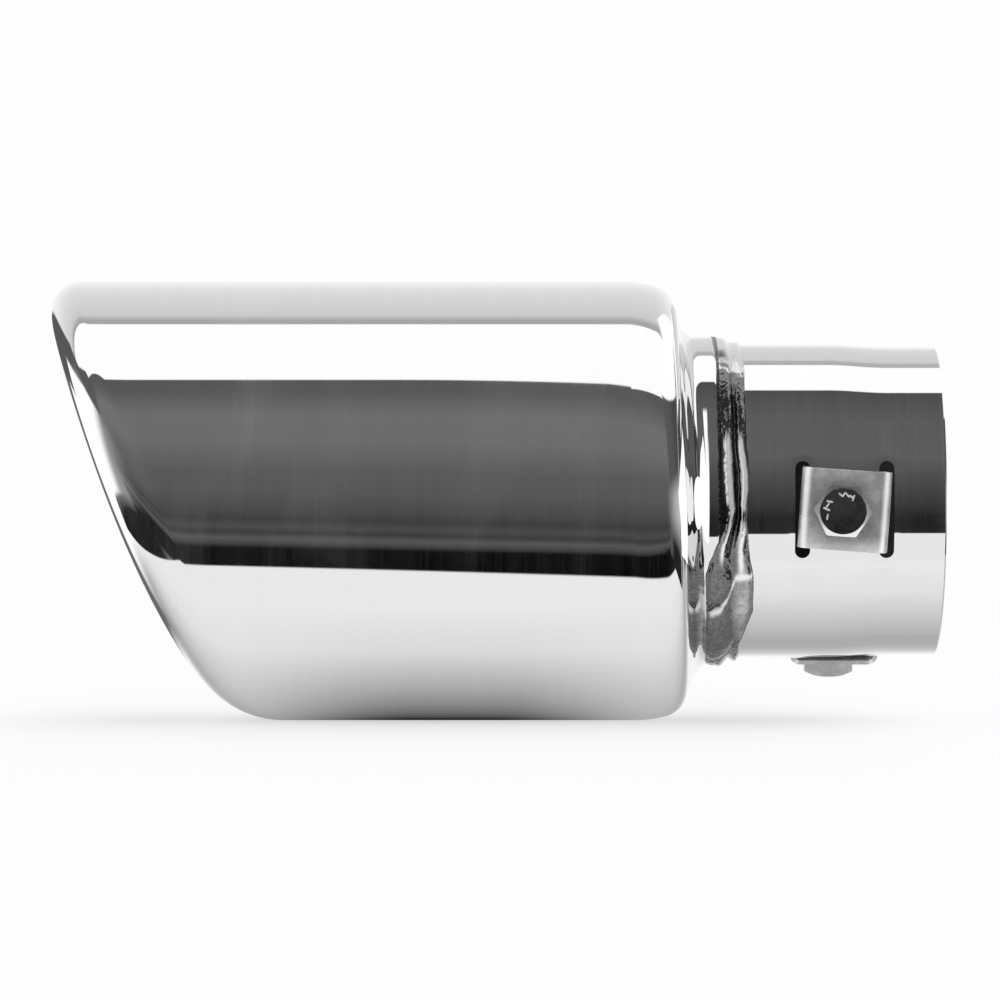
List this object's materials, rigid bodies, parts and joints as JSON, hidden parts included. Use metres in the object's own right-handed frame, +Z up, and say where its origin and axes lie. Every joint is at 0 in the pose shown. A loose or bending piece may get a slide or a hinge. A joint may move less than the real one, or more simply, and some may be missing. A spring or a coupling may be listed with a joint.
{
  "type": "exhaust tip",
  "caption": "Bolt-on exhaust tip: polished round body with a slanted, rolled-in mouth, welded to a straight inlet neck that clips and hexagon bolts clamp on a tailpipe.",
  "frame": {"origin": "centre of the inlet neck's open end, where the tailpipe goes in", "axes": "+X along the tip's axis, out of the neck's open end and away from the mouth; +Z up, towards the long upper lip; -Y towards the side clamp"},
  "size_m": [0.1789, 0.089, 0.089],
  "materials": {
    "polished_steel": "mirror-polished stainless steel with fine brushing round the barrel",
    "neck_steel": "bright brushed stainless steel tube",
    "weld_metal": "rough, dark hand-laid weld",
    "clip_steel": "plain folded sheet steel",
    "bolt_steel": "bright plated hexagon bolt"
  },
  "bodies": {
    "tip": {"tip_shell": "polished_steel", "inlet_neck": "neck_steel", "weld_bead": "weld_metal", "side_clip": "clip_steel", "lower_clip": "clip_steel"},
    "side_screw": {"side_bolt": "bolt_steel"},
    "lower_screw": {"lower_bolt": "bolt_steel"}
  },
  "joints": [
    {"name": "side_bolt_travel", "type": "slide", "parent": "tip", "child": "side_screw", "axis": [0, -0.9983, -0.0576], "range_m": [0, 0.011]},
    {"name": "lower_bolt_travel", "type": "slide", "parent": "tip", "child": "lower_screw", "axis": [0, 0.342, -0.9397], "range_m": [0, 0.011]}
  ]
}
